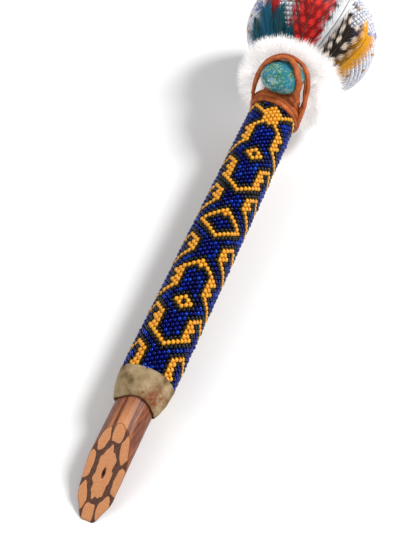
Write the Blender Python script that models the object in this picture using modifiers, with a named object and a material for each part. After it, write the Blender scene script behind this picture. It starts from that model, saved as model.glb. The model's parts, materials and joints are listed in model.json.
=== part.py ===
"""Beaded gourd rattle on a vine handle: a hollow beaded head with loose seeds, a stone laced to the neck,
a fur collar and a fan of feathers. Lengths are in millimetres until they reach a mesh, which is in metres.
The parts are modelled along the handle, local +Z from the tip to the head and local -Y the side that lies
uppermost, under one empty that lays the rattle on the floor with its head towards +Y."""

from math import asin, cos, hypot, pi, radians, sin, sqrt

import bmesh
import bpy
from mathutils import Matrix, Vector

MM = 0.001
GAP = 0.3
STEPS = 24

# Handle: the vine, its hide sleeve and the beads over it
VINE_RADIUS = 8.9
VINE_LOBES = 9
LOBE_DEPTH = 0.18
VINE_END = 226.0
CUT_CENTRE = 20.2
TENON_RADIUS = 5.5
TENON_END = 262.0
CUFF_EDGE = 49.5
BEAD_START = 65.0
BEAD_END = 217.6
BEAD_RADIUS_LOW = 13.0
BEAD_RADIUS_HIGH = 12.4
SLEEVE_BORE = 9.4
SLEEVE_RADIUS = 10.4
SLEEVE_END = 224.5

# Neck: two turns of lace, a gasket, a pitch ring, the stone and its pad
WRAP_HEIGHT = 3.0
WRAP_GAP = 0.4
WRAP_THICKNESS = 2.2
NECK_START = 231.8
NECK_BORE = 7.0
STONE_CENTRE = (0.0, 17.5, 230.0)
STONE_HALF = (11.0, 5.5, 9.5)
LACE_RADIUS = 1.1

# Head: outline of the gourd from its neck to the crown as (radius, place along the handle)
GOURD_OUTLINE = (
    (9.6, NECK_START),
    (9.6, 239.0),
    (10.6, 244.5),
    (14.0, 249.0),
    (21.0, 254.5),
    (28.5, 261.5),
    (31.6, 267.5),
    (32.2, 275.0),
    (30.2, 283.5),
    (24.5, 290.5),
    (15.5, 295.2),
    (6.0, 297.0),
    (0.0, 297.2),
)
HEAD_CENTRE = 272.0
GOURD_WALL = 3.0
SKIN_INNER = 0.3
SKIN_OUTER = 2.2
SKIN_START = 247.0
FEATHER_OFFSET = 3.0
FEATHER_LAYER = 0.7
FEATHER_THICKNESS = 0.4
QUILL_HALF_WIDTH = 0.8
CLIMB_RUN = 4.0
FUR_OFFSET = 7.4

# Seeds: (place across, place along) of each lane in the hollow head
SEED_RADIUS = 2.4
SEED_LANES = ((-15, 271), (-8, 278), (-8, 268), (-1, 273), (-1, 283), (7, 279), (7, 269), (14, 274))

# Feathers: name, angles at the quill and at the tip, share of the head covered, half width, layer, colour
FEATHERS = (
    ("teal_left", -64, -62, 0.30, 6.0, 2, (0.02, 0.13, 0.15)),
    ("teal_middle", -44, -38, 0.36, 4.6, 3, (0.02, 0.15, 0.24)),
    ("teal_right", -28, -23, 0.35, 4.0, 2, (0.02, 0.17, 0.22)),
    ("teal_short", -14, -13, 0.27, 3.6, 3, (0.02, 0.11, 0.12)),
    ("red_plain", -36, -34, 0.56, 6.0, 0, (0.55, 0.03, 0.03)),
    ("red_spotted", 4, 4, 0.60, 11.5, 1, (0.40, 0.02, 0.02)),
    ("white_silky", 26, 30, 0.64, 8.5, 0, (0.85, 0.85, 0.85)),
    ("black_spotted", 46, 38, 0.42, 7.5, 3, (0.03, 0.02, 0.02)),
    ("gold", 66, 54, 0.46, 8.0, 2, (0.80, 0.45, 0.02)),
    ("beige_fluff", 92, 88, 0.27, 5.5, 0, (0.75, 0.62, 0.42)),
)


def clear_scene():
    for item in list(bpy.data.objects):
        bpy.data.objects.remove(item)


def collection(name):
    made = bpy.data.collections.new(name)
    bpy.context.scene.collection.children.link(made)
    return made


def material(name, colour, roughness=0.6, metallic=0.0):
    made = bpy.data.materials.new(name)
    made.use_nodes = True
    shader = made.node_tree.nodes["Principled BSDF"]
    shader.inputs["Base Color"].default_value = (*colour, 1.0)
    shader.inputs["Roughness"].default_value = roughness
    shader.inputs["Metallic"].default_value = metallic
    return made


def place(name, data, look):
    """Links a new object for the data under the rattle's empty, with its own material."""
    made = bpy.data.objects.new(name, data)
    PARTS.objects.link(made)
    made.parent = ROOT
    made.data.materials.append(look)
    return made


def local(across, height, along):
    """A point of the rattle's own frame, in metres: height is towards the upper side, local -Y."""
    return Vector((across, -height, along)) * MM


def smooth(points, pieces):
    """Catmull-Rom curve through the points, with that many pieces between neighbours."""
    out = []
    for i in range(len(points) - 1):
        a, b = points[max(i - 1, 0)], points[i]
        c, d = points[i + 1], points[min(i + 2, len(points) - 1)]
        for k in range(pieces):
            t = k / pieces
            point = []
            for p, q, r, s in zip(a, b, c, d):
                square, cube = 2 * p - 5 * q + 4 * r - s, 3 * q - p - 3 * r + s
                point.append(0.5 * (2 * q + (r - p) * t + square * t**2 + cube * t**3))
            out.append(tuple(point))
    return out + [points[-1]]


def offset(outline, distance):
    """The outline moved outwards by a distance; its ends keep to the axis where they started on it."""
    out = []
    for i, (radius, along) in enumerate(outline):
        before, after = outline[max(i - 1, 0)], outline[min(i + 1, len(outline) - 1)]
        run, rise = after[1] - before[1], after[0] - before[0]
        length = hypot(run, rise)
        moved = radius + distance * run / length
        out.append((0.0 if radius == 0 else max(moved, 0.0), along - distance * rise / length))
    return out


def turned(name, outer, inner, look, steps=STEPS):
    """A ring turned about the handle, with a flat facet underneath. Profiles run up as (radius, along)."""
    profile = list(reversed(outer)) + list(inner)
    mesh = bpy.data.meshes.new(name)
    count = len(profile)
    edges = [(i, (i + 1) % count) for i in range(count)]
    mesh.from_pydata([(r * MM, 0, z * MM) for r, z in profile], edges, [])
    made = place(name, mesh, look)
    screw = made.modifiers.new("turn", "SCREW")
    screw.axis = "Z"
    screw.steps = screw.render_steps = steps
    screw.use_merge_vertices = True
    screw.merge_threshold = 0.00001
    made.rotation_euler = (0, 0, pi / steps)
    return made


def band(name, low, high, bore, thickness, look, rounding=0.6):
    """A strap turn: a ring with rounded outer edges."""
    rim = bore + thickness
    outer = [(rim - rounding, low), (rim, low + rounding), (rim, high - rounding), (rim - rounding, high)]
    return turned(name, outer, [(bore, low), (bore, high)], look)


def skinned(name, rings, look):
    """A closed loft through rings of points with equal counts, capped at both ends."""
    bm = bmesh.new()
    made = [[bm.verts.new(p) for p in ring] for ring in rings]
    for low, high in zip(made, made[1:]):
        for i in range(len(low)):
            j = (i + 1) % len(low)
            bm.faces.new((low[i], low[j], high[j], high[i]))
    bm.faces.new(reversed(made[0]))
    bm.faces.new(made[-1])
    mesh = bpy.data.meshes.new(name)
    bmesh.ops.recalc_face_normals(bm, faces=bm.faces)
    bm.to_mesh(mesh)
    bm.free()
    return place(name, mesh, look)


def vine_ring(radius, lobe, along):
    points = []
    count = VINE_LOBES * 4
    for i in range(count):
        angle = 2 * pi * i / count
        reach = radius + lobe * cos(VINE_LOBES * angle)
        points.append(local(reach * sin(angle), reach * cos(angle), along))
    return points


def vine_core():
    """The lobed stick, cut on a slant at its tip and turned down to a tenon in the gourd."""
    look = material("vine_wood", (0.62, 0.30, 0.13), 0.5)
    rings = [vine_ring(VINE_RADIUS, LOBE_DEPTH, z) for z in (-2.0, 30.0, 60.0, VINE_END)]
    rings += [vine_ring(TENON_RADIUS, 0.0, z) for z in (VINE_END, TENON_END)]
    core = skinned("vine_core", rings, look)
    bm = bmesh.new()
    bm.from_mesh(core.data)
    slope = Vector((0, -CUT_CENTRE, -VINE_RADIUS)).normalized()
    everything = bm.verts[:] + bm.edges[:] + bm.faces[:]
    middle = local(0, 0, CUT_CENTRE)
    bmesh.ops.bisect_plane(bm, geom=everything, plane_co=middle, plane_no=slope, clear_outer=True)
    bmesh.ops.holes_fill(bm, edges=[e for e in bm.edges if e.is_boundary], sides=0)
    bmesh.ops.recalc_face_normals(bm, faces=bm.faces)
    bm.to_mesh(core.data)
    bm.free()


def grip():
    """The hide sleeve with its cuff, and the beadwork over it."""
    hide = material("tan_hide", (0.38, 0.28, 0.17), 0.95)
    cuff_top = BEAD_START - GAP
    outer = [
        (SLEEVE_BORE + 0.5, CUFF_EDGE),
        (10.9, CUFF_EDGE + 3),
        (12.2, CUFF_EDGE + 9),
        (12.7, cuff_top - 1.2),
        (12.4, cuff_top),
        (SLEEVE_RADIUS, cuff_top),
        (SLEEVE_RADIUS, SLEEVE_END),
    ]
    turned("hide_grip_sleeve", outer, [(SLEEVE_BORE, CUFF_EDGE), (SLEEVE_BORE, SLEEVE_END)], hide)
    bore = SLEEVE_RADIUS + GAP
    beads = material("grip_beads", (0.03, 0.05, 0.30), 0.25)
    outer = [(BEAD_RADIUS_LOW, BEAD_START), (BEAD_RADIUS_HIGH, BEAD_END)]
    turned("bead_sleeve", outer, [(bore, BEAD_START), (bore, BEAD_END)], beads)


def neck():
    """What joins the handle to the gourd, with the turns of lace round it."""
    lace = material("brown_lace", (0.42, 0.14, 0.03), 0.7)
    low = BEAD_END + WRAP_GAP
    for name in ("neck_wrap_lower", "neck_wrap_upper"):
        band(name, low, low + WRAP_HEIGHT, SLEEVE_RADIUS + GAP, WRAP_THICKNESS, lace)
        low += WRAP_HEIGHT + WRAP_GAP
    gasket = material("gasket_hide", (0.45, 0.36, 0.24), 0.9)
    band("neck_gasket", VINE_END + GAP, NECK_START - GAP, TENON_RADIUS + GAP, 3.4, gasket, 0.4)
    pitch = material("pine_pitch", (0.10, 0.05, 0.02), 0.3)
    band("pitch_ring", NECK_START + 1, NECK_START + 9, TENON_RADIUS + GAP, 0.8, pitch, 0.2)


def stone_seat():
    """A curved leather pad on the neck, under the stone."""
    half_angle = radians(50)
    low, high = SLEEVE_END + 0.5, 238.8
    inner, rim = 9.6 + GAP + 0.1, 11.5
    sides = 12
    rings = []
    for k in range(sides + 1):
        angle = half_angle * (2 * k / sides - 1)
        corners = ((inner, low), (rim, low), (rim, high), (inner, high))
        rings.append([local(r * sin(angle), r * cos(angle), z) for r, z in corners])
    skinned("stone_seat_pad", rings, material("pad_leather", (0.30, 0.12, 0.04), 0.8))


def stone():
    across, height, along = STONE_CENTRE
    bm = bmesh.new()
    size = Matrix.Diagonal((*(v * MM for v in STONE_HALF), 1))
    shape = Matrix.Translation(local(across, height, along)) @ size
    bmesh.ops.create_uvsphere(bm, u_segments=28, v_segments=16, radius=1, matrix=shape)
    mesh = bpy.data.meshes.new("turquoise_stone")
    bm.to_mesh(mesh)
    bm.free()
    place("turquoise_stone", mesh, material("turquoise", (0.02, 0.32, 0.36), 0.15))


def clear_of_stone(point):
    """The point, moved away from the stone's centre where a lace through it would cut the stone."""
    room = LACE_RADIUS + 2 * GAP
    parts = [(p - c) / (half + room) for p, c, half in zip(point, STONE_CENTRE, STONE_HALF)]
    reach = max(1e-6, sqrt(sum(v * v for v in parts)))
    return tuple(c + (p - c) * max(1.0, 1 / reach) for p, c in zip(point, STONE_CENTRE))


def lace_strand(name, points, look):
    """A round lace through hand-set points, as a curve that keeps clear of the stone."""
    route = [clear_of_stone(point) for point in smooth(points, 5)]
    data = bpy.data.curves.new(name, "CURVE")
    data.dimensions = "3D"
    data.bevel_depth = LACE_RADIUS * MM
    data.bevel_resolution = 2
    data.use_fill_caps = True
    spline = data.splines.new("POLY")
    spline.points.add(len(route) - 1)
    for point, where in zip(spline.points, route):
        point.co = (*local(*where), 1)
    return place(name, data, look)


def stone_lacing():
    """The strands that hold the stone: one round its far rim and one across its face."""
    look = material("stone_lace", (0.42, 0.14, 0.03), 0.7)
    far_rim = (
        (-12.6, 7.5, 224.6),
        (-13.4, 11.5, 227.5),
        (-12.8, 16.0, 232.0),
        (-9.3, 19.3, 237.2),
        (-2.0, 21.0, 240.0),
        (6.0, 20.0, 239.1),
        (11.7, 17.0, 235.0),
        (13.6, 13.5, 230.0),
        (13.4, 9.5, 225.8),
    )
    lace_strand("stone_lace_outer", far_rim, look)
    across_face = (
        (-12.3, 13.2, 224.8),
        (-9.3, 19.4, 231.5),
        (-5.0, 23.1, 234.2),
        (0.6, 24.5, 233.6),
        (4.8, 23.8, 230.8),
        (7.0, 21.8, 226.8),
        (8.2, 17.6, 223.6),
        (9.0, 13.4, 223.9),
    )
    lace_strand("stone_lace_inner", across_face, look)


def head():
    """The gourd with its neck bore, and the bead skin over it."""
    outline = smooth(GOURD_OUTLINE, 2)
    wood = material("gourd", (0.55, 0.36, 0.16), 0.7)
    shoulder = NECK_START + 11
    cavity = [p for p in offset(outline, -GOURD_WALL) if p[1] > shoulder + 2 and p[0] > NECK_BORE]
    crown = (0.0, outline[-1][1] - GOURD_WALL)
    cavity = [(NECK_BORE, NECK_START), (NECK_BORE, shoulder)] + cavity + [crown]
    turned("gourd_shell", outline, cavity, wood)
    covered = [p for p in outline if p[1] > SKIN_START]
    skin = material("white_beads", (0.85, 0.85, 0.90), 0.3)
    turned("gourd_bead_skin", offset(covered, SKIN_OUTER), offset(covered, SKIN_INNER), skin)


def collar():
    """The fur with its hide backing, and the thread that binds the quills."""
    backing = material("pelt_hide", (0.70, 0.60, 0.48), 0.9)
    outline = smooth(GOURD_OUTLINE, 4)
    under = [p for p in outline if 240.0 < p[1] < SKIN_START - 1.5]
    turned("pelt_strip", offset(under, SKIN_OUTER), offset(under, GAP), backing)
    thread = material("quill_thread", (0.75, 0.70, 0.58), 0.8)
    band("quill_binding", 241.2, 244.6, 16.2, 1.1, thread, 0.3)
    fur = material("white_fur", (0.88, 0.87, 0.86), 1.0)
    lining = [(18.4, 241.0), (18.4, 245.0)]
    lining += [p for p in offset(outline, FUR_OFFSET) if p[0] > 18.8 and p[1] < 250.0]
    outer = [(20.0, 241.0), (24.5, 242.2), (26.8, 245.2), (27.0, 248.2)]
    turned("fur_collar", outer, lining, fur)


def feather(name, quill_angle, tip_angle, reach, half_width, layer, colour):
    """A thin curved blade that follows the head, from its quill under the collar to a rounded tip."""
    gourd = smooth(GOURD_OUTLINE, 8)
    low_layer = offset(gourd, FEATHER_OFFSET)
    own_layer = offset(gourd, FEATHER_OFFSET + layer * FEATHER_LAYER)
    first = next(i for i, p in enumerate(low_layer) if p[1] > 242.5)
    last = int(first + reach * (len(gourd) - 1 - first) * 1.25)
    along_steps, across_steps = 20, 4
    bm = bmesh.new()
    grid = []
    for i in range(along_steps + 1):
        t = i / along_steps
        near = round(first + t * (last - first))
        climb = min(1, max(0, (gourd[near][1] - SKIN_START) / CLIMB_RUN))
        radius, place_along = (a + (b - a) * climb for a, b in zip(low_layer[near], own_layer[near]))
        swell = min(1, max(0, (t - 0.2) / 0.25))
        rounding = sqrt(1 - max(0, t - 0.5) ** 2 * 3.2)
        width = QUILL_HALF_WIDTH + (half_width - QUILL_HALF_WIDTH) * swell * rounding
        angle = radians(quill_angle + (tip_angle - quill_angle) * t)
        row = []
        for j in range(across_steps + 1):
            turn = angle + width * (2 * j / across_steps - 1) / radius
            row.append(bm.verts.new(local(radius * sin(turn), radius * cos(turn), place_along)))
        grid.append(row)
    for low, high in zip(grid, grid[1:]):
        for j in range(across_steps):
            bm.faces.new((low[j], low[j + 1], high[j + 1], high[j]))
    bmesh.ops.recalc_face_normals(bm, faces=bm.faces)
    mesh = bpy.data.meshes.new("feather_" + name)
    bm.to_mesh(mesh)
    bm.free()
    blade = place("feather_" + name, mesh, material("feather_" + name, colour, 0.6))
    solid = blade.modifiers.new("thickness", "SOLIDIFY")
    solid.thickness = FEATHER_THICKNESS * MM
    solid.offset = 0


def seed_height(across, along):
    """How far from the mid-plane a seed of this lane touches the hollow's wall."""
    inner = offset(smooth(GOURD_OUTLINE, 8), -GOURD_WALL - SEED_RADIUS - 0.9)
    radius = min(r for r, z in inner if abs(z - along) < SEED_RADIUS and r > 10)
    return sqrt(radius**2 - across**2)


def seeds():
    """Loose seeds, each resting on the low side of the hollow in a lane of its own."""
    for number, (across, along) in enumerate(SEED_LANES, 1):
        name = f"rattle_seed_{number}"
        bm = bmesh.new()
        shape = Matrix.Diagonal((SEED_RADIUS * MM, SEED_RADIUS * MM, SEED_RADIUS * MM, 1))
        bmesh.ops.create_uvsphere(bm, u_segments=12, v_segments=8, radius=1, matrix=shape)
        mesh = bpy.data.meshes.new(name)
        bm.to_mesh(mesh)
        bm.free()
        made = place(name, mesh, material(name, (0.05, 0.02, 0.01), 0.35))
        made.location = local(across, -seed_height(across, along), along)


def lay_on_floor():
    """Tilts the rattle so that its tip and its head both touch, then centres it over the origin."""
    head_radius = max(r for r, z in GOURD_OUTLINE) + SKIN_OUTER
    tilt = asin((head_radius - VINE_RADIUS) / HEAD_CENTRE)
    ROOT.rotation_euler = (tilt - pi / 2, 0, 0)
    bpy.context.view_layer.update()
    graph = bpy.context.evaluated_depsgraph_get()
    points = []
    for made in PARTS.objects:
        shape = made.evaluated_get(graph)
        mesh = shape.to_mesh()
        points += [made.matrix_world @ v.co for v in mesh.vertices]
        shape.to_mesh_clear()
    low = [min(p[i] for p in points) for i in range(3)]
    high = [max(p[i] for p in points) for i in range(3)]
    ROOT.location = (-(low[0] + high[0]) / 2, -(low[1] + high[1]) / 2, -low[2])
    bpy.context.view_layer.update()


clear_scene()
PARTS = collection("beaded_rattle")
ROOT = bpy.data.objects.new("rattle_frame", None)
bpy.context.scene.collection.objects.link(ROOT)
vine_core()
grip()
neck()
stone_seat()
stone()
stone_lacing()
head()
collar()
for blade_spec in FEATHERS:
    feather(*blade_spec)
seeds()
lay_on_floor()
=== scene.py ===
"""Looks of the beaded gourd rattle: beads, suede, lace, stone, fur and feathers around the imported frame.
Lengths are in millimetres in the rattle's own frame (across, height, along the handle) until place() turns
them into the row frame in metres."""

import json
import random

import bpy
import numpy as np
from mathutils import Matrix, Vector, noise


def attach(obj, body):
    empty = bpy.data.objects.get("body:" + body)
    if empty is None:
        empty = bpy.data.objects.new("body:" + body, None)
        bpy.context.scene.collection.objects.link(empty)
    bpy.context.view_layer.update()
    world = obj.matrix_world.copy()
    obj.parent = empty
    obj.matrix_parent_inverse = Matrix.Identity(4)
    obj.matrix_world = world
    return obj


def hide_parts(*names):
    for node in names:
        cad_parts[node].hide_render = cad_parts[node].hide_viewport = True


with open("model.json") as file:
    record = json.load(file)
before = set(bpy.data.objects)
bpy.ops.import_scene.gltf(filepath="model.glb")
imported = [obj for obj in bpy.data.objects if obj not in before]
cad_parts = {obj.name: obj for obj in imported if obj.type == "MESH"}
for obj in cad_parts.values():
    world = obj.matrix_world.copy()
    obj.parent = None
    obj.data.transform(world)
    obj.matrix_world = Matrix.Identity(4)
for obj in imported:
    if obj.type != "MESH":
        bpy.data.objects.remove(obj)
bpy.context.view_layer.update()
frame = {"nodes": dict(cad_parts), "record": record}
BODY = "rattle"
MM = 0.001
rng = np.random.default_rng(7)
random.seed(7)

# The rattle's own frame, from the grip mount, which lies this far up the handle and has the handle's axis
GRIP_ALONG = 140.0
GRIP = next(m for m in frame["record"]["mounts"] if m["name"] == "grip")
ALONG = np.array(GRIP["axis"], float)
ALONG /= np.linalg.norm(ALONG)
ACROSS = np.array([1.0, 0.0, 0.0])
UPWARD = np.cross(ACROSS, ALONG)
TIP = np.array(GRIP["pos_m"], float) - ALONG * GRIP_ALONG * MM

# Sizes that part.py gives the same pieces
VINE_RADIUS, LOBE_DEPTH, VINE_LOBES, CUT_CENTRE = 8.9, 0.25, 9, 20.2
TENON_RADIUS, TENON_END = 5.5, 262.0
CUFF_EDGE, BEAD_START, BEAD_END = 49.5, 65.0, 217.6
BEAD_RADIUS_LOW, BEAD_RADIUS_HIGH = 13.0, 12.4
STONE_CENTRE, STONE_HALF = np.array([0.0, 17.5, 230.0]), np.array([11.0, 5.5, 9.5])
GOURD = (
    (9.6, 231.8), (9.6, 239.0), (10.6, 244.5), (14.0, 249.0), (21.0, 254.5), (28.5, 261.5), (31.6, 267.5),
    (32.2, 275.0), (30.2, 283.5), (24.5, 290.5), (15.5, 295.2), (6.0, 297.0), (0.0, 297.2),
)


def place(points):
    """Points (across, height, along) in millimetres, in the row frame in metres."""
    p = np.asarray(points, float).reshape(-1, 3) * MM
    return TIP + p[:, :1] * ACROSS + p[:, 1:2] * UPWARD + p[:, 2:] * ALONG


def polar(radius, angle, along):
    """A point at an angle from the upper side, positive towards +X."""
    return (radius * np.sin(angle), radius * np.cos(angle), along)


def make_mesh(name, points, faces, look, smooth=True, body=BODY):
    """A piece from points in the rattle's frame and an array of equal-sided faces."""
    points, faces = place(points), np.asarray(faces, np.int32)
    mesh = bpy.data.meshes.new(name)
    sides = faces.shape[1]
    mesh.vertices.add(len(points))
    mesh.vertices.foreach_set("co", points.astype(np.float32).ravel())
    mesh.loops.add(faces.size)
    mesh.loops.foreach_set("vertex_index", faces.ravel())
    mesh.polygons.add(len(faces))
    mesh.polygons.foreach_set("loop_start", np.arange(0, faces.size, sides, dtype=np.int32))
    mesh.update(calc_edges=True)
    mesh.polygons.foreach_set("use_smooth", np.full(len(faces), smooth))
    made = bpy.data.objects.new(name, mesh)
    bpy.context.scene.collection.objects.link(made)
    mesh.materials.append(look)
    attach(made, body)
    return made


def paint(piece, name, values):
    """Stores one number or one colour for each point, which the piece's material reads."""
    values = np.asarray(values, np.float32)
    kind, size = ("FLOAT_COLOR", 4) if values.ndim == 2 else ("FLOAT", 1)
    layer = piece.data.attributes.new(name, kind, "POINT")
    if size == 4:
        values = np.column_stack([values, np.ones(len(values), np.float32)])
        layer.data.foreach_set("color", values.ravel())
    else:
        layer.data.foreach_set("value", values)


def grid_faces(rows, columns, closed=True):
    """Quads between the points of a grid, row after row; closed joins the last column to the first."""
    last = columns if closed else columns - 1
    r, c = np.meshgrid(np.arange(rows - 1), np.arange(last), indexing="ij")
    r, c = r.ravel(), c.ravel()
    n = (c + 1) % columns
    return np.column_stack([r * columns + c, r * columns + n, (r + 1) * columns + n, (r + 1) * columns + c])


def spline(points, pieces):
    """Catmull-Rom curve through the points."""
    p = np.asarray(points, float)
    padded = np.vstack([2 * p[0] - p[1], p, 2 * p[-1] - p[-2]])
    out = []
    for i in range(len(p) - 1):
        a, b, c, d = padded[i : i + 4]
        for t in np.arange(pieces) / pieces:
            square, cube = 2 * a - 5 * b + 4 * c - d, 3 * b - a - 3 * c + d
            out.append(0.5 * (2 * b + (c - a) * t + square * t**2 + cube * t**3))
    return np.array(out + [p[-1]])


OUTLINE = spline(GOURD, 24)
SLOPE = np.gradient(OUTLINE, axis=0)
SLOPE /= np.linalg.norm(SLOPE, axis=1)[:, None]
ARC = np.concatenate([[0], np.cumsum(np.linalg.norm(np.diff(OUTLINE, axis=0), axis=1))])


def on_gourd(arc, angle, lift):
    """A point this far along the gourd's outline from its neck, raised by lift; and the outward direction."""
    radius = np.interp(arc, ARC, OUTLINE[:, 0])
    along = np.interp(arc, ARC, OUTLINE[:, 1])
    rise = np.interp(arc, ARC, SLOPE[:, 0])
    run = np.interp(arc, ARC, SLOPE[:, 1])
    point = polar(radius + lift * run, angle, along - lift * rise)
    out = np.array([run * np.sin(angle), run * np.cos(angle), -rise])
    return np.array(point), out


def lumps(point, scale, seed=0.0):
    return noise.noise(Vector(point) * scale + Vector((seed, seed, seed)))


# ---------------------------------------------------------------- materials


class Look:
    """A Principled material with short calls for the nodes that feed it."""

    def __init__(self, name, roughness=0.5, **sockets):
        self.material = bpy.data.materials.new(name)
        self.material.use_nodes = True
        self.tree = self.material.node_tree
        self.shader = self.tree.nodes["Principled BSDF"]
        self.shader.inputs["Roughness"].default_value = roughness
        for key, value in sockets.items():
            self.shader.inputs[key.replace("_", " ")].default_value = value
        self.where = self.node("ShaderNodeTexCoord").outputs["Object"]

    def node(self, kind, **settings):
        made = self.tree.nodes.new(kind)
        for key, value in settings.items():
            setattr(made, key, value)
        return made

    def link(self, source, target):
        self.tree.links.new(source, target)

    def noise(self, scale, detail=4.0, stretch=None, roughness=0.55):
        made = self.node("ShaderNodeTexNoise")
        made.inputs["Scale"].default_value = scale
        made.inputs["Detail"].default_value = detail
        made.inputs["Roughness"].default_value = roughness
        source = self.where
        if stretch:
            mapping = self.node("ShaderNodeMapping")
            mapping.inputs["Scale"].default_value = stretch
            self.link(source, mapping.inputs["Vector"])
            source = mapping.outputs["Vector"]
        self.link(source, made.inputs["Vector"])
        return made.outputs["Fac"]

    def cells(self, scale, feature="F1"):
        made = self.node("ShaderNodeTexVoronoi", feature=feature)
        made.inputs["Scale"].default_value = scale
        self.link(self.where, made.inputs["Vector"])
        return made

    def ramp(self, source, *stops):
        made = self.node("ShaderNodeValToRGB")
        parts = made.color_ramp.elements
        while len(parts) < len(stops):
            parts.new(0.5)
        for part, (where, colour) in zip(parts, stops):
            part.position = where
            part.color = (*colour, 1) if len(colour) == 3 else colour
        self.link(source, made.inputs["Fac"])
        return made.outputs["Color"]

    def mix(self, factor, a, b, blend="MIX"):
        made = self.node("ShaderNodeMix", data_type="RGBA", blend_type=blend)
        for value, socket in ((factor, made.inputs[0]), (a, made.inputs[6]), (b, made.inputs[7])):
            if hasattr(value, "links"):
                self.link(value, socket)
            else:
                socket.default_value = value if isinstance(value, float) else (*value, 1)
        return made.outputs[2]

    def attribute(self, name, output="Fac"):
        return self.node("ShaderNodeAttribute", attribute_name=name).outputs[output]

    def colour(self, source):
        self.link(source, self.shader.inputs["Base Color"])

    def rough(self, source, low, high):
        made = self.node("ShaderNodeMapRange")
        made.inputs["To Min"].default_value = low
        made.inputs["To Max"].default_value = high
        self.link(source, made.inputs["Value"])
        self.link(made.outputs["Result"], self.shader.inputs["Roughness"])

    def bump(self, source, strength, distance):
        made = self.node("ShaderNodeBump")
        made.inputs["Strength"].default_value = strength
        made.inputs["Distance"].default_value = distance
        self.link(source, made.inputs["Height"])
        self.link(made.outputs["Normal"], self.shader.inputs["Normal"])


def bead_look(name, stops, roughness=0.18, coat=0.6, **sockets):
    """Glass beads: each bead's own shade comes from its number in the 'bead' attribute."""
    look = Look(name, roughness, Coat_Weight=coat, Coat_Roughness=0.05, **sockets)
    shade = look.ramp(look.attribute("bead"), *stops)
    look.colour(look.mix(look.noise(900), shade, tuple(v * 0.7 for v in stops[0][1]), "MIX"))
    look.rough(look.noise(500), roughness * 0.7, roughness * 1.5)
    return look.material


def vine_look():
    look = Look("vine", 0.5)
    pores = look.noise(2600, 3)
    grain = look.noise(420, 6, (3.0, 0.35, 3.0))
    flecked = look.ramp(pores, (0.3, (0.36, 0.11, 0.035)), (0.62, (0.80, 0.36, 0.15)))
    pale = look.mix(0.45, flecked, (0.62, 0.25, 0.09))
    dark = look.ramp(look.noise(1500, 5), (0.3, (0.03, 0.010, 0.004)), (0.7, (0.15, 0.045, 0.016)))
    streaks = (0.3, (0.04, 0.008, 0.004)), (0.52, (0.19, 0.042, 0.012)), (0.75, (0.40, 0.12, 0.035))
    bark = look.ramp(grain, *streaks)
    wood = look.mix(look.ramp(look.attribute("lobe"), (0.42, (0, 0, 0)), (0.56, (1, 1, 1))), pale, dark)
    look.colour(look.mix(look.attribute("bark"), wood, bark))
    look.rough(pores, 0.35, 0.62)
    look.bump(look.mix(0.5, pores, grain), 0.35, 0.0002)
    return look.material


def suede_look():
    look = Look("suede", 0.95, Specular_IOR_Level=0.1)
    hides = (0.32, (0.17, 0.11, 0.05)), (0.46, (0.34, 0.24, 0.125)), (0.66, (0.52, 0.40, 0.24))
    blotch = look.ramp(look.noise(160, 5), *hides)
    nap = look.ramp(look.noise(3200, 3), (0.3, (0.7, 0.7, 0.7)), (0.7, (1.15, 1.12, 1.1)))
    base = look.mix(1.0, blotch, nap, "MULTIPLY")
    look.colour(look.mix(look.attribute("stain"), base, (0.26, 0.06, 0.02)))
    look.bump(look.noise(2600, 4), 0.6, 0.0004)
    return look.material


def lace_look(name="lace"):
    look = Look(name, 0.5)
    browns = (0.25, (0.18, 0.030, 0.003)), (0.5, (0.42, 0.085, 0.007)), (0.75, (0.60, 0.15, 0.015))
    look.colour(look.ramp(look.noise(330, 6), *browns))
    look.rough(look.noise(900), 0.5, 0.8)
    look.bump(look.noise(2200, 4), 0.5, 0.00025)
    return look.material


def stone_look():
    look = Look("turquoise", 0.12, Coat_Weight=1.0, Coat_Roughness=0.03)
    body = look.ramp(look.noise(170, 5, roughness=0.65), (0.30, (0.0, 0.07, 0.08)), (0.44, (0.0, 0.20, 0.17)),
                     (0.55, (0.0, 0.17, 0.30)), (0.70, (0.01, 0.30, 0.26)))
    flecks = look.ramp(look.noise(900, 6, roughness=0.75), (0.52, (0, 0, 0)), (0.60, (1, 1, 1)))
    zone = look.ramp(look.noise(120, 2), (0.36, (0, 0, 0)), (0.52, (1, 1, 1)))
    specks = look.mix(1.0, flecks, zone, "MULTIPLY")
    look.colour(look.mix(specks, body, (0.42, 0.52, 0.22)))
    return look.material


def feather_look(name):
    look = Look(name, 0.6, Specular_IOR_Level=0.2)
    fine = look.ramp(look.noise(1800, 3), (0.3, (0.72, 0.72, 0.72)), (0.7, (1.15, 1.15, 1.15)))
    look.colour(look.mix(1.0, look.attribute("tint", "Color"), fine, "MULTIPLY"))
    return look.material


def fur_look():
    look = Look("rabbit_fur", 0.85, Sheen_Weight=0.2)
    look.colour(look.ramp(look.noise(420, 3), (0.3, (0.90, 0.88, 0.87)), (0.6, (0.98, 0.97, 0.97))))
    # The fur glows faintly white through emission: painted light that lifts the shade among the hairs.
    look.shader.inputs["Emission Color"].default_value = (1, 0.99, 0.98, 1)
    look.shader.inputs["Emission Strength"].default_value = 0.16
    return look.material


def plain_look(name, low, high, scale=500, roughness=0.8):
    look = Look(name, roughness)
    look.colour(look.ramp(look.noise(scale, 5), (0.3, low), (0.7, high)))
    look.bump(look.noise(scale * 3, 3), 0.4, 0.0002)
    return look.material


# ---------------------------------------------------------------- beads


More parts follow.
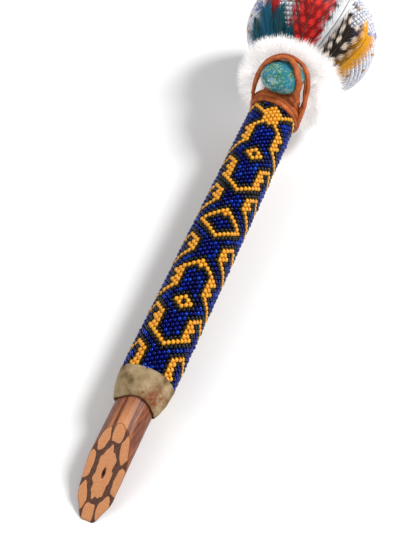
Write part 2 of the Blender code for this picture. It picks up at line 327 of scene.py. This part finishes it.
def bead_shape(sides=10):
    """A round bead with a hole, its hole along the first axis: unit length, unit diameter."""
    profile = ((-0.5, 0.24), (-0.38, 0.44), (0.0, 0.5), (0.38, 0.44), (0.5, 0.24))
    turn = np.arange(sides) * 2 * np.pi / sides
    rings = [np.column_stack([np.full(sides, x), r * np.cos(turn), r * np.sin(turn)]) for x, r in profile]
    points = np.vstack(rings)
    faces = grid_faces(len(profile), sides)
    inner = np.arange(sides)
    first, last = inner, (len(profile) - 1) * sides + inner
    closing = np.column_stack([last, np.roll(last, -1), np.roll(first, -1), first])
    return points, np.vstack([faces, closing])


def bead_piece(name, centres, holes, outs, length, diameter, look, node):
    """One piece of many beads: each has a centre, the direction of its hole and its outward direction."""
    shape, faces = bead_shape()
    count = len(centres)
    centres, holes, outs = (np.asarray(v, float) for v in (centres, holes, outs))
    holes = holes + rng.normal(0, 0.1, holes.shape)
    holes /= np.linalg.norm(holes, axis=1)[:, None]
    sides = np.cross(outs, holes)
    sides /= np.linalg.norm(sides, axis=1)[:, None]
    outs = np.cross(holes, sides)
    long = length * rng.uniform(0.93, 1.0, count)
    wide = diameter * rng.uniform(0.95, 1.02, count)
    points = (
        centres[:, None, :]
        + shape[None, :, :1] * (holes * long[:, None])[:, None, :]
        + shape[None, :, 1:2] * (outs * wide[:, None])[:, None, :]
        + shape[None, :, 2:] * (sides * wide[:, None])[:, None, :]
    )
    all_faces = faces[None] + (np.arange(count) * len(shape))[:, None, None]
    piece = make_mesh(name, points.reshape(-1, 3), all_faces.reshape(-1, 4), look)
    paint(piece, "bead", np.repeat(rng.uniform(0, 1, count), len(shape)))
    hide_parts(node)
    return piece


COLUMNS = 44
BEAD_PITCH = 2.43
CUP_ALONG = 79.2
FIRST_HALF_ROW, LAST_HALF_ROW = -14, 116
DESIGN_TURN = np.radians(11.0)


def line(first, last, start, step):
    """Beads of a slanting line: column and half-row, one half-row up or down for each column."""
    return [(k, start + step * (k - first)) for k in range(first, last + 1)]


def bar(low, high, bumps):
    """A two-column upright bar between columns 4 and 5, with bumps on column 6."""
    beads = [(4, h) for h in range(low, high + 1) if h % 2 == 0]
    beads += [(5, h) for h in range(low, high + 1) if h % 2 == 1]
    return beads + [(6, h) for h in bumps]


def arms(inner):
    """From the bar's top outwards and up, then down to the design's back line."""
    return line(4, 7, inner, 1) + line(8, 11, inner + 2, -1)


def cup(base, bumps=1):
    """A V, its two bars and the arms at their tops."""
    top = base + 4 + 4 * (bumps + 1)
    return line(0, 6, base, 1) + bar(base + 4, top, [base + 6 + 4 * i for i in range(bumps + 1)]) + arms(top)


def arch(peak):
    """A peak, its two bars and the lines that leave them downwards."""
    sides = bar(peak - 13, peak - 5, (peak - 6, peak - 10))
    return line(0, 5, peak, -1) + [(0, peak - 2)] + sides + line(5, 11, peak - 13, -1)


def ring(middle):
    return [(0, middle + 2), (0, middle - 2), (1, middle + 1), (1, middle - 1), (2, middle)]


def short_bar(foot):
    """Arms with a short bar below them and a line that leaves it downwards."""
    return bar(foot, foot + 5, (foot + 3,)) + arms(foot + 5) + line(5, 11, foot, -1)


def triangle(base):
    return line(0, 6, base, 1) + line(0, 6, base + 12, -1) + [(0, base + 10), (1, base + 11)]


def flower(middle):
    rows = [(k, middle + h) for k in range(3) for h in range(-4 + k, 5 - k, 1) if (k + middle + h) % 2 == 0]
    return rows + line(3, 7, middle + 1, 1) + line(8, 11, middle + 4, -1)


def bead_design():
    """The yellow beads of half the pattern, from the cuff to the neck; it repeats twice round the grip."""
    beads = bar(-12, -4, (-10,)) + arms(-4)
    beads += cup(0) + ring(18) + arch(36)
    beads += short_bar(39) + triangle(48) + short_bar(63)
    beads += cup(70) + ring(88) + arch(106) + flower(108)
    yellow = set()
    for k, h in beads:
        for column in (k, -k, 22 - k, 22 + k):
            yellow.add((column % COLUMNS, h))
    return yellow


def grip_beads():
    yellow = bead_design()
    around = ((1, 1), (1, -1), (-1, 1), (-1, -1), (0, 2), (0, -2))
    groups = {"yellow": [], "black": [], "blue": []}
    for k in range(COLUMNS):
        for h in range(FIRST_HALF_ROW, LAST_HALF_ROW + 1):
            if (h + k) % 2:
                continue
            along = CUP_ALONG + h * BEAD_PITCH / 2
            if not BEAD_START + 0.7 < along < BEAD_END - 1.1:
                continue
            if (k, h) in yellow:
                shade = "yellow"
            elif any(((k + a) % COLUMNS, h + b) in yellow for a, b in around):
                shade = "black"
            else:
                shade = "blue"
            t = (along - BEAD_START) / (BEAD_END - BEAD_START)
            outer = BEAD_RADIUS_LOW + (BEAD_RADIUS_HIGH - BEAD_RADIUS_LOW) * t
            angle = DESIGN_TURN + k * 2 * np.pi / COLUMNS
            radius = outer - BEAD_PITCH / 2 + rng.normal(0, 0.1)
            out = np.array([np.sin(angle), np.cos(angle), 0])
            hole = np.array([np.cos(angle), -np.sin(angle), 0])
            groups[shade].append((polar(radius, angle, along + rng.normal(0, 0.05)), hole, out))
    blacks = (0.0, (0.002, 0.002, 0.003)), (1.0, (0.006, 0.006, 0.008))
    blues = (0.0, (0.001, 0.004, 0.08)), (0.6, (0.002, 0.012, 0.30)), (1.0, (0.01, 0.10, 0.85))
    looks = {
        "yellow": bead_look("yellow_bead", ((0.0, (0.95, 0.38, 0.01)), (1.0, (1.0, 0.50, 0.02))), 0.3, 0.1),
        "black": bead_look("black_bead", blacks, 0.14, 0.0, Specular_IOR_Level=0.28),
        "blue": bead_look("blue_bead", blues,
                          0.12, 0.0, Metallic=0.7, Specular_IOR_Level=0.3),
    }
    for shade, beads in groups.items():
        centres, holes, outs = zip(*beads)
        bead_piece(f"grip_beads_{shade}", centres, holes, outs, 1.88, 2.5, looks[shade], "bead_sleeve")
    core = [polar(BEAD_RADIUS_LOW - 1.9 - 0.6 * (z > 100), a, z) for z in (BEAD_START, BEAD_END - 0.2)
            for a in np.linspace(0, 2 * np.pi, 48, endpoint=False)]
    thread = plain_look("bead_thread", (0.01, 0.01, 0.02), (0.03, 0.03, 0.06))
    lining = make_mesh("bead_lining", core, grid_faces(2, 48), thread)
    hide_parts("bead_sleeve")


def head_beads():
    """Rings of white beads round the gourd, with speckles of blue; some white beads are drawn lilac as painted
    bluish shade, and a few amber as painted orange reflections.
    """
    pitch, width = 2.2, 2.05
    start = np.interp(247.5, OUTLINE[:, 1], ARC)
    groups = {"white": [], "shaded_white": [], "blue": [], "amber_reflection": []}
    rows = int((ARC[-1] - start) / pitch)
    for row in range(rows):
        arc = start + (row + 0.5) * (ARC[-1] - start) / rows
        radius = np.interp(arc, ARC, OUTLINE[:, 0])
        count = max(3, round(2 * np.pi * (radius + 1.2) / width))
        for i in range(count):
            angle = (i + 0.5 * (row % 2)) * 2 * np.pi / count
            point, out = on_gourd(arc, angle, 1.15)
            hole = np.array([np.cos(angle), -np.sin(angle), 0])
            zigzag = abs(((row * 0.5 + 40) % 9) - abs(((i * 44 / count) % 11) - 5.5)) < 0.55
            draw = rng.uniform()
            # Beads drawn lilac are white beads in painted bluish shade, and beads drawn amber are painted orange
            # reflections; neither is a glass colour.
            shade = "blue" if zigzag and draw < 0.55 else "amber_reflection" if draw > 0.965 else "shaded_white" if draw > 0.6 else "white"
            groups[shade].append((point, hole, out))
    looks = {
        "white": bead_look("white_bead", ((0.0, (0.86, 0.86, 0.92)), (1.0, (0.95, 0.95, 0.97))), 0.2, 0.5),
        # The lilac look is white bead colour in painted bluish shade.
        "shaded_white": bead_look("shaded_white_bead", ((0.0, (0.74, 0.75, 0.90)), (1.0, (0.82, 0.83, 0.94))), 0.2, 0.6),
        "blue": bead_look("pale_blue_bead", ((0.0, (0.22, 0.27, 0.62)), (1.0, (0.45, 0.50, 0.82))), 0.2, 0.6),
        # The amber look is a painted orange reflection in clear white beads, not amber glass.
        "amber_reflection": bead_look("amber_reflection_bead", ((0.0, (0.45, 0.16, 0.03)), (1.0, (0.75, 0.40, 0.12))), 0.2, 0.6),
    }
    for shade, beads in groups.items():
        centres, holes, outs = zip(*beads)
        size = width * 0.98, pitch * 0.98
        bead_piece(f"head_beads_{shade}", centres, holes, outs, *size, looks[shade], "gourd_bead_skin")
    turns = np.linspace(0, 2 * np.pi, 64, endpoint=False)
    arcs = np.linspace(start - 0.5, ARC[-1], 40)
    base = [on_gourd(a, t, 0.6)[0] for a in arcs for t in turns]
    wax = plain_look("head_wax", (0.78, 0.78, 0.86), (0.88, 0.88, 0.93))
    lining = make_mesh("head_lining", base, grid_faces(40, 64), wax)
    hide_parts("gourd_bead_skin")


# ---------------------------------------------------------------- vine and suede


def vine_radius(angle, along):
    return VINE_RADIUS + LOBE_DEPTH * np.cos(VINE_LOBES * angle) * (0.6 + 0.4 * np.cos(along * 0.05)) - 0.25


def lobe_value(across, height, twist):
    """How dark the wood is at a point of the section: 0 in a pale lobe, 1 in the tissue between lobes."""
    radius, angle = np.hypot(across, height), np.arctan2(across, height) + twist
    heart_edge = 4.1 + 0.5 * np.cos(2 * angle) + 0.3 * np.cos(7 * angle + 0.6) + 0.15 * np.cos(13 * angle)
    heart = (radius - heart_edge) / 1.1
    best = 1.0
    for i in range(8):
        middle = (i + 0.1) * np.pi / 4
        turn = (angle - middle + np.pi) % (2 * np.pi) - np.pi
        side = turn * radius
        best = min(best, (abs(side / 2.45) ** 2.6 + abs((radius - 7.7) / 2.15) ** 2.6) ** (1 / 2.6) - 1.0)
    value = min(heart, best * 2.2)
    return float(np.clip(0.5 + value * 1.3, 0, 1))


def vine():
    """The stick: a fine grid over the slanted cut, then rings up the handle."""
    around, across_steps, rows = 180, 40, 46
    angles = np.linspace(0, 2 * np.pi, around, endpoint=False)
    points, lobe, bark = [], [], []
    slope = CUT_CENTRE / VINE_RADIUS
    for i in range(1, across_steps + 1):
        share = i / across_steps
        for a in angles:
            radius = share * vine_radius(a, 20)
            x, h = radius * np.sin(a), radius * np.cos(a)
            along = CUT_CENTRE + h * slope
            hollow = 1.3 * np.exp(-((x / 0.55) ** 2 + (h / 0.75) ** 2))
            value = lobe_value(x + 0.35 * lumps((x, h, 0), 0.7), h + 0.35 * lumps((x, h, 5), 0.7), 0.0)
            rim = max(0.0, share - 0.965) / 0.035
            sink = 0.12 * value + 0.35 * rim**2 + 0.06 * lumps((x, h, 2), 2.2) + hollow
            points.append((x, h - sink, along + sink * 0.3))
            lobe.append(max(value, min(1.0, 0.55 + hollow) if hollow > 0.25 else 0))
            bark.append(0.75 * max(0.0, share - 0.975) / 0.025)
    for j in range(1, rows + 1):
        t = j / rows
        for a in angles:
            base_radius = vine_radius(a, 20)
            x, h = base_radius * np.sin(a), base_radius * np.cos(a)
            edge = CUT_CENTRE + h * slope
            along = edge + (66.0 - edge) * t
            radius = vine_radius(a, along) + 0.12 * lumps((x * 3, h * 3, along * 0.15), 0.5)
            px, ph = radius * np.sin(a), radius * np.cos(a)
            points.append((px, ph, along))
            streak = lobe_value(px * 0.9 + 0.3 * lumps((a * 4, along * 0.1, 1), 1), ph * 0.9, 0.0)
            planed = np.clip((np.cos(a) - 0.72) * 3.0, 0, 1) * np.clip((58 - along) / 18, 0.0, 1)
            lobe.append(streak)
            bark.append(float(np.clip(1 - planed * (1.15 - streak), 0, 1)))
    shoulder = ((8.6, 226.0), (TENON_RADIUS, 226.2), (TENON_RADIUS, TENON_END), (0.01, TENON_END))
    points += [polar(r, a, z) for r, z in shoulder for a in angles]
    lobe += [0.0] * (4 * around)
    bark += [1.0] * (4 * around)
    piece = make_mesh("vine_handle", points, grid_faces(across_steps + rows + 4, around), vine_look())
    middle = [(0, -1.2, CUT_CENTRE + 0.3)] + points[:around]
    fan = [(0, 1 + i, 1 + (i + 1) % around) for i in range(around)]
    pith = plain_look("pith", (0.01, 0.004, 0.002), (0.10, 0.04, 0.02), 900)
    heart = make_mesh("vine_pith", middle, fan, pith)
    paint(piece, "lobe", lobe)
    paint(piece, "bark", bark)
    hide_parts("vine_core")
    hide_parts("vine_core")


def suede_cuff():
    """The sleeve's flared end, with a wavy lower edge and a ragged top one."""
    around, rows = 200, 34
    angles = np.linspace(0, 2 * np.pi, around, endpoint=False)
    points, stain = [], []
    for j in range(rows + 1):
        t = j / rows
        for a in angles:
            front = np.cos(a - DESIGN_TURN)
            low = CUFF_EDGE + 1.4 + 2.3 * max(0.0, front) ** 2 + 0.5 * np.sin(3 * a + 0.6)
            low += 0.25 * lumps((np.sin(a), np.cos(a), 0), 4)
            top = BEAD_START - 0.3 + 1.3 * max(0.0, front) ** 2 + 0.35 * lumps((np.sin(a), np.cos(a), 3), 9)
            along = low + (top - low) * t
            swell = 9.75 + 3.0 * np.sin(min(1.0, t * 1.12) * np.pi / 2) ** 0.85
            radius = swell + 0.22 * lumps((np.sin(a) * 3, np.cos(a) * 3, along * 0.3), 1.0)
            if t > 0.9:
                radius += 0.25 * (t - 0.9) / 0.1
            points.append(polar(radius, a, along))
            mark = np.exp(-(((a - 0.82) / 0.42) ** 2) - ((along - 55.5) / 4.2) ** 2)
            mark *= 0.55 + 0.9 * lumps((np.sin(a) * 12, np.cos(a) * 12, along * 0.9), 1.0)
            spot = 0.9 * np.exp(-(((a - 0.27) / 0.05) ** 2) - ((along - 55.6) / 0.6) ** 2)
            stain.append(float(np.clip(mark * 1.3 + spot, 0, 1)))
    points += [polar(10.5, a, BEAD_START + 0.6) for a in angles]
    stain += [0.0] * around
    inner = [polar(9.35, a, points[i][2] + 0.05) for i, a in enumerate(angles)]
    points = inner + points
    stain = [0.3] * around + stain
    points += [polar(10.4, a, 224.4) for a in angles]
    stain += [0.0] * around
    piece = make_mesh("suede_cuff", points, grid_faces(rows + 4, around), suede_look())
    paint(piece, "stain", stain)
    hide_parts("hide_grip_sleeve")


# ---------------------------------------------------------------- lace and stone


def strap(name, route, centre_line, half_width, half_thick, look, nodes, closed=False, wobble=0.05):
    """A flat lace along a route; its flat side faces away from the centre line (a point for each point)."""
    route, centre_line = np.asarray(route, float), np.asarray(centre_line, float)
    sides, count = 12, len(route)
    ahead = np.roll(route, -1, 0) - np.roll(route, 1, 0) if closed else np.gradient(route, axis=0)
    ahead /= np.linalg.norm(ahead, axis=1)[:, None]
    out = route - centre_line
    out -= (out * ahead).sum(1)[:, None] * ahead
    out /= np.linalg.norm(out, axis=1)[:, None]
    side = np.cross(ahead, out)
    points = []
    for i in range(count):
        wide = half_width * (1 + wobble * np.sin(i * 0.7) + wobble * lumps(route[i], 0.3))
        for k in range(sides):
            t = 2 * np.pi * k / sides
            c, s = np.cos(t), np.sin(t)
            squared = (abs(c) ** 4 + abs(s) ** 4) ** -0.25
            points.append(route[i] + side[i] * wide * c * squared * 0.92 + out[i] * half_thick * s * squared)
    faces = grid_faces(count, sides)
    if closed:
        last = (count - 1) * sides
        k = np.arange(sides)
        join = np.column_stack([last + k, last + (k + 1) % sides, (k + 1) % sides, k])
        faces = np.vstack([faces, join])
    piece = make_mesh(name, points, faces, look)
    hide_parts(*nodes)
    return piece


def neck_turn(name, along, lean, radius, half_width, look, node, phase=0.0):
    """A turn of lace round the neck that leans lower towards one side."""
    angles = np.linspace(0, 2 * np.pi, 96, endpoint=False)
    route = [polar(radius, a, along - lean * np.sin(a + phase)) for a in angles]
    middle = [(0, 0, p[2]) for p in route]
    strap(name, route, middle, half_width, 1.15, look, (node,), closed=True)


def lacing():
    look = lace_look()
    neck_turn("neck_lace_low", 219.2, 1.6, 12.0, 1.8, look, "neck_wrap_lower", 0.2)
    neck_turn("neck_lace_mid", 220.6, 1.9, 12.7, 1.6, look, "neck_wrap_lower", -0.3)
    neck_turn("neck_lace_high", 222.8, 0.4, 12.5, 1.9, look, "neck_wrap_upper")
    far_rim = (
        (-12.4, 5.0, 221.8), (-13.4, 10.5, 226.0), (-12.9, 15.2, 231.5), (-10.0, 18.9, 236.6), (-3.5, 21.6, 239.6),
        (4.0, 21.8, 238.9), (9.6, 19.6, 236.4), (12.8, 16.0, 231.6), (13.7, 11.5, 226.5), (12.8, 5.5, 221.6),
    )
    face = (
        (-12.8, 8.0, 222.2), (-12.3, 14.0, 226.6), (-10.2, 19.4, 231.9), (-5.4, 23.0, 235.6), (0.6, 24.0, 236.4),
        (5.2, 23.6, 233.4), (8.0, 21.6, 228.8), (9.4, 17.6, 224.6), (10.6, 12.2, 221.6),
    )
    second = ((13.5, 3.0, 218.0), (14.0, 8.5, 223.5), (12.6, 13.0, 228.2), (11.6, 16.2, 232.0), (8.4, 19.3, 236.2))
    for name, route, node in (("stone_lace_rim", far_rim, "stone_lace_outer"),
                              ("stone_lace_face", face, "stone_lace_inner"),
                              ("stone_lace_side", second, "stone_lace_outer")):
        route = spline(route, 10)
        away = (route - STONE_CENTRE) / (STONE_HALF + 0.85)
        reach = np.linalg.norm(away, axis=1)[:, None]
        route = STONE_CENTRE + (route - STONE_CENTRE) * np.maximum(1.0, 1 / reach)
        middle = np.array([STONE_CENTRE * (1, 0.55, 1)] * len(route))
        strap(name, route, middle, 1.75, 0.85, look, (node,))


def stone():
    """A tumbled stone: a rounded, slightly uneven pebble."""
    rows, around = 40, 72
    points = []
    for j in range(rows + 1):
        lift = np.pi * (j / rows - 0.5)
        for a in np.linspace(0, 2 * np.pi, around, endpoint=False):
            unit = np.array([np.cos(lift) * np.cos(a), np.sin(lift), np.cos(lift) * np.sin(a)])
            shape = 1 + 0.035 * lumps(unit, 1.3, 4) + 0.012 * lumps(unit, 3.1, 2)
            flat = np.sign(unit) * np.abs(unit) ** 0.92
            points.append(STONE_CENTRE + flat * STONE_HALF * shape * 0.985)
    piece = make_mesh("polished_stone", points, grid_faces(rows + 1, around), stone_look())
    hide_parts("turquoise_stone")


# ---------------------------------------------------------------- fur


def strands(name, roots, tips, bends, width, look, nodes, segments=3):
    """Flat tapering hairs, each from its root to its tip with a bend in between."""
    roots, tips, bends = (np.asarray(v, float) for v in (roots, tips, bends))
    count = len(roots)
    ahead = tips - roots
    side = np.cross(ahead, rng.normal(0, 1, (count, 3)))
    side /= np.linalg.norm(side, axis=1)[:, None]
    rows = []
    for s in range(segments + 1):
        t = s / segments
        middle = roots * (1 - t) ** 2 + bends * 2 * t * (1 - t) + tips * t**2
        half = width * (1 - 0.85 * t)
        rows.append(np.stack([middle - side * half, middle + side * half], 1))
    points = np.stack(rows, 1).reshape(-1, 3)
    per = (segments + 1) * 2
    one = np.array([(2 * s, 2 * s + 1, 2 * s + 3, 2 * s + 2) for s in range(segments)])
    faces = (one[None] + (np.arange(count) * per)[:, None, None]).reshape(-1, 4)
    piece = make_mesh(name, points, faces, look)
    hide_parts(*nodes)
    return piece


def fur_root(angle, t):
    """Roots lie on the pelt band, from its handle side (t 0) to its head side (t 1)."""
    return np.array(polar(13.5 + 5.0 * t, angle, 233.0 + 12.5 * t))


def fur():
    look = fur_look()
    body, around, rows = [], 96, 14
    for j in range(rows):
        t = j / (rows - 1)
        for a in np.linspace(0, 2 * np.pi, around, endpoint=False):
            radius = 10.5 + 8.0 * np.sin(t * np.pi * 0.75) ** 0.8
            radius += 0.6 * lumps((np.sin(a) * 4, np.cos(a) * 4, t * 4), 1.0)
            under_stone = np.clip(1.25 - abs(((a + np.pi) % (2 * np.pi)) - np.pi) / 0.9, 0, 1)
            along = 229.0 + 18.5 * t + 10.5 * under_stone * (1 - t)
            body.append(polar(radius - 2.0 * under_stone * (1 - t), a, along))
    base = make_mesh("fur_underlayer", body, grid_faces(rows, around), look)
    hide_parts("fur_collar")
    for part, count in (("fur_left", 9000), ("fur_right", 9000)):
        roots, tips, bends = [], [], []
        low, high = (np.pi, 2 * np.pi) if part == "fur_left" else (0, np.pi)
        for _ in range(count):
            angle, t = rng.uniform(low, high), rng.uniform(0, 1) ** 0.8
            turned_away = abs(((angle + np.pi) % (2 * np.pi)) - np.pi)
            if turned_away < 0.95 and t < 0.62:
                t = rng.uniform(0.62, 1.0)
            root = fur_root(angle, t)
            out = np.array([np.sin(angle), np.cos(angle), 0])
            lean = -0.75 + 1.45 * t
            direction = out * 1.0 + np.array([0, 0, lean]) + rng.normal(0, 0.20, 3)
            clump = 0.35 * np.array([lumps((angle * 5, t * 4, k), 1.0) for k in (0, 7, 13)])
            direction = direction + clump
            direction /= np.linalg.norm(direction)
            length = rng.uniform(7.5, 12.5) * (0.72 if t > 0.8 else 1.0)
            tip = root + direction * length
            bend = root + (direction * 0.6 + out * 0.35) * length * 0.6
            roots.append(root)
            tips.append(tip)
            bends.append(bend)
        strands(part, roots, tips, bends, 0.16, look, ("fur_collar",))


# ---------------------------------------------------------------- feathers


SPOT_ROWS, SPOT_PITCH = 4.3, 4.4


def vane_tint(kind, along, side, base, down, out):
    """The colour of a barb at a share of the feather's length and half width, and the same in millimetres."""
    colour = np.array(base, float)
    if kind == "teal":
        colour = colour * (0.55 + 0.9 * along) + np.array([0.0, 0.02, 0.09]) * max(0, 0.6 - abs(side))
    elif kind == "spotted":
        row = np.floor(down / SPOT_ROWS)
        shift = 0.5 * (row % 2)
        column = np.round(out / SPOT_PITCH - shift) + shift
        near = np.hypot((down - (row + 0.5) * SPOT_ROWS) / 1.25, (out - column * SPOT_PITCH) / 1.0)
        if near < 1.3 and (abs(column) > 0.4 or base[0] > 0.1):
            colour = np.array([0.92, 0.76, 0.62]) if base[0] < 0.1 else np.array([0.85, 0.03, 0.02])
    elif kind == "barred" and (abs(side) > 0.35 and int(along * 22) % 3 == 0):
        colour = np.array([0.03, 0.03, 0.03])
    elif kind == "gold":
        colour = colour * (0.75 + 0.5 * abs(side)) * (0.8 + 0.3 * along)
    return colour


def feather(name, kind, quill_angle, tip_angle, length, half_width, lift, base, loose=0.25, barbs=110):
    """A feather that lies on the head: a quill and two rows of thin barbs."""
    start = 12.0
    points, faces, tints = [], [], []
    wave = rng.uniform(0, 6)

    def surface(arc, angle, height):
        return on_gourd(start + arc, angle, height)[0]

    def middle_angle(t):
        return np.radians(quill_angle + (tip_angle - quill_angle) * t)

    for way in (-1, 1):
        for i in range(barbs):
            t = 0.16 + 0.84 * i / barbs
            fullness = np.sin(np.pi * min(1.0, 0.18 + 0.86 * (t - 0.1))) ** 0.55 if t < 0.98 else 0.25
            reach = half_width * fullness * rng.uniform(1 - loose * 0.6, 1.03)
            forward = reach * (0.75 + 0.9 * t) * rng.uniform(0.9, 1.1)
            splay = 0.3 * np.sin(wave + i * 0.13) + rng.normal(0, 0.35 * loose)
            first = len(points)
            steps = 8
            for s in range(steps + 1):
                u = s / steps
                arc = t * length + forward * u**1.2
                radius = max(6.0, np.interp(start + arc, ARC, OUTLINE[:, 0]))
                angle = middle_angle(t) + way * (reach * u * (1 - 0.15 * u)) / radius
                height = lift + 0.9 * np.sin(u * 2.6) * 0.6 - 0.5 * u + splay * u
                half = length / barbs * (0.9 - 0.35 * u**2)
                points.append(surface(arc - half, angle, height))
                points.append(surface(arc + half, angle, height + 0.05))
                out = way * u * reach
                shade = vane_tint(kind, min(1, arc / length), out / half_width, base, arc, out)
                tints += [shade * rng.uniform(0.88, 1.08)] * 2
            for s in range(steps):
                faces.append((first + 2 * s, first + 2 * s + 1, first + 2 * s + 3, first + 2 * s + 2))
    quill_steps, sides = 26, 6
    for i in range(quill_steps + 1):
        t = i / quill_steps
        thick = 0.42 * (1 - 0.8 * t) + 0.05
        centre, out = on_gourd(start + t * length * 0.97, middle_angle(t), lift + 0.35)
        angle = middle_angle(t)
        tangent = np.array([np.cos(angle), -np.sin(angle), 0])
        for k in range(sides):
            turn = 2 * np.pi * k / sides
            points.append(centre + tangent * thick * np.cos(turn) + out * thick * np.sin(turn))
            tints.append(np.array(base) * 0.35 + np.array([0.05, 0.04, 0.03]))
    ring_start = len(points) - (quill_steps + 1) * sides
    faces += (grid_faces(quill_steps + 1, sides) + ring_start).tolist()
    piece = make_mesh(f"plume_{name}", points, faces, feather_look(f"plume_{name}"))
    paint(piece, "tint", tints)
    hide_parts(f"feather_{name}")


def feathers():
    teal, blue = (0.002, 0.060, 0.070), (0.002, 0.085, 0.14)
    feather("red_plain", "plain", -36, -34, 46, 6.0, 2.6, (0.55, 0.02, 0.02), 0.35)
    feather("white_silky", "barred", 26, 30, 50, 8.5, 2.6, (0.80, 0.80, 0.82), 0.9)
    feather("red_spotted", "spotted", 4, 4, 47, 11.5, 3.4, (0.26, 0.004, 0.006), 0.3, 150)
    feather("teal_left", "teal", -60, -62, 22, 8.0, 4.2, teal)
    feather("teal_right", "teal", -30, -24, 27, 5.2, 4.0, teal)
    feather("teal_middle", "teal", -46, -39, 28, 6.2, 4.8, blue)
    feather("teal_short", "teal", -14, -13, 19, 3.8, 4.8, teal)
    feather("gold", "gold", 70, 58, 34, 9.0, 4.0, (0.95, 0.42, 0.005), 0.55)
    feather("black_spotted", "spotted", 50, 40, 30, 9.0, 4.9, (0.018, 0.012, 0.010), 0.3, 120)
    feather("beige_fluff", "plain", 92, 88, 17, 6.0, 3.0, (0.72, 0.56, 0.34), 1.0)


# ---------------------------------------------------------------- what stays as CAD


def finish_cad_nodes():
    looks = {
        "gourd_shell": plain_look("gourd_rind", (0.34, 0.19, 0.07), (0.58, 0.38, 0.17), 90, 0.6),
        "pitch_ring": plain_look("pitch", (0.03, 0.012, 0.004), (0.12, 0.05, 0.015), 200, 0.3),
        "neck_gasket": plain_look("gasket", (0.28, 0.20, 0.12), (0.46, 0.36, 0.24), 300, 0.9),
        "pelt_strip": plain_look("pelt", (0.55, 0.46, 0.36), (0.78, 0.70, 0.60), 300, 0.9),
        "quill_binding": plain_look("thread", (0.55, 0.50, 0.40), (0.80, 0.75, 0.64), 1500, 0.85),
        "stone_seat_pad": lace_look("pad"),
    }
    seed = plain_look("seed_coat", (0.015, 0.006, 0.003), (0.07, 0.03, 0.015), 700, 0.35)
    for name in frame["nodes"]:
        if name.startswith("rattle_seed"):
            looks[name] = seed
    for name, look in looks.items():
        slots = frame["nodes"][name].data.materials
        slots.clear()
        slots.append(look)


# ---------------------------------------------------------------- camera, floor and light

FOCAL_PIXELS, IMAGE_HEIGHT = 1004.0, 550.0
CAMERA_ELEVATION, CAMERA_AZIMUTH, CAMERA_DISTANCE = 56.4, 22.8, 461.0
AIM = (3.7, 0.0, 122.6)


def studio():
    scene = bpy.context.scene
    elevation, azimuth = np.radians(CAMERA_ELEVATION), np.radians(CAMERA_AZIMUTH)
    back = np.array([np.sin(azimuth) * np.cos(elevation), -np.cos(azimuth) * np.cos(elevation), np.sin(elevation)])
    target = place([AIM])[0]
    data = bpy.data.cameras.new("camera")
    data.sensor_fit = "VERTICAL"
    data.sensor_height = 24.0
    data.lens = data.sensor_height * FOCAL_PIXELS / IMAGE_HEIGHT
    data.clip_start, data.clip_end = 0.01, 20
    camera = bpy.data.objects.new("camera", data)
    scene.collection.objects.link(camera)
    camera.location = Vector(target + back * CAMERA_DISTANCE * MM)
    camera.rotation_euler = Vector(back).to_track_quat("Z", "Y").to_euler()
    scene.camera = camera

    mesh = bpy.data.meshes.new("floor")
    mesh.from_pydata([(-3, -3, 0), (3, -3, 0), (3, 3, 0), (-3, 3, 0)], [], [(0, 1, 2, 3)])
    floor = bpy.data.objects.new("floor", mesh)
    scene.collection.objects.link(floor)
    paper = Look("floor_paper", 0.9)
    paper.shader.inputs["Base Color"].default_value = (0.92, 0.92, 0.92, 1)
    mesh.materials.append(paper.material)

    world = bpy.data.worlds.new("studio")
    scene.world = world
    world.use_nodes = True
    world.node_tree.nodes["Background"].inputs["Color"].default_value = (1, 1, 1, 1)
    world.node_tree.nodes["Background"].inputs["Strength"].default_value = 0.45

    for name, place_at, size, power in (
        ("key", (0.75, 0.55, 1.1), 0.35, 18.0),
        ("fill", (-0.7, -0.6, 1.0), 0.8, 4.0),
    ):
        lamp = bpy.data.lights.new(name, "AREA")
        lamp.size = size
        lamp.energy = power
        made = bpy.data.objects.new(name, lamp)
        scene.collection.objects.link(made)
        made.location = place_at
        made.rotation_euler = Vector(place_at).to_track_quat("Z", "Y").to_euler()
    scene.view_settings.view_transform = "Standard"


studio()
vine()
suede_cuff()
grip_beads()
head_beads()
lacing()
stone()
fur()
feathers()
finish_cad_nodes()
